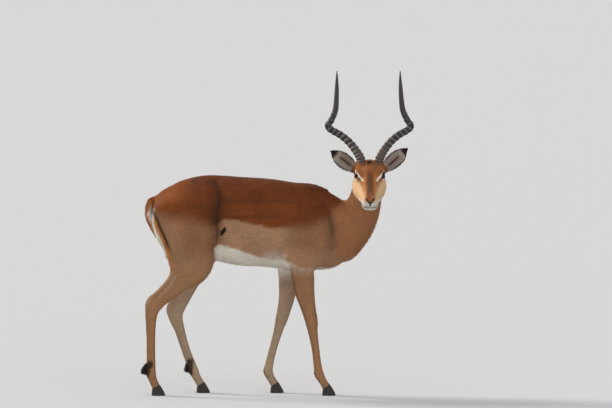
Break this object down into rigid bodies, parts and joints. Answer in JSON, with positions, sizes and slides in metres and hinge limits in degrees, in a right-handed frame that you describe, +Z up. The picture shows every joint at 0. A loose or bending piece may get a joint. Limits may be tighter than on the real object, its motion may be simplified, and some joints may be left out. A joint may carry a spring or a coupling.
{
  "type": "impala antelope",
  "caption": "Life-size standing impala ram, head turned to its right, lyre-shaped ridged horns, still museum-style model.",
  "frame": {"origin": "on the floor, below the middle of the model's box", "axes": "+Z up, +X the way the body points, -Y the way the face looks; the animal's right side is at -Y"},
  "size_m": [1.1573, 0.389, 1.378],
  "materials": {
    "back_coat": "short flat red-brown fur of the saddle over a paler flank and a white belly",
    "flank_coat": "short flat tan fur",
    "leg_coat": "very short tan fur",
    "face_coat": "very short chestnut fur with pale cheeks, eye rings and chin",
    "ear_coat": "short fur, grey-brown inside with a black tip",
    "tail_coat": "brown fur with a black line, white beneath",
    "gland_hair": "tuft of black hair",
    "horn": "ridged dark horn, satin, polished towards the tip",
    "hoof": "dark horn, satin",
    "eye": "wet, glossy dark brown"
  },
  "bodies": {
    "root": {"croup": "back_coat", "barrel": "back_coat", "chest": "back_coat", "thigh_right": "flank_coat", "thigh_left": "flank_coat", "shoulder_right": "flank_coat", "shoulder_left": "flank_coat", "gaskin_right": "leg_coat", "hind_cannon_right": "leg_coat", "hind_pastern_right": "leg_coat", "forearm_right": "leg_coat", "fore_cannon_right": "leg_coat", "fore_pastern_right": "leg_coat", "hind_hoof_right_outer": "hoof", "fore_hoof_right_outer": "hoof", "hind_hoof_right_inner": "hoof", "fore_hoof_right_inner": "hoof", "gland_tuft_right": "gland_hair", "gaskin_left": "leg_coat", "hind_cannon_left": "leg_coat", "hind_pastern_left": "leg_coat", "forearm_left": "leg_coat", "fore_cannon_left": "leg_coat", "fore_pastern_left": "leg_coat", "hind_hoof_left_outer": "hoof", "fore_hoof_left_outer": "hoof", "hind_hoof_left_inner": "hoof", "fore_hoof_left_inner": "hoof", "gland_tuft_left": "gland_hair", "tail": "tail_coat", "neck_lower": "flank_coat", "neck_upper": "flank_coat", "eye_right": "eye", "horn_right": "horn", "ear_right": "ear_coat", "eye_left": "eye", "horn_left": "horn", "ear_left": "ear_coat", "head": "face_coat", "lower_jaw": "face_coat"}
  },
  "joints": []
}
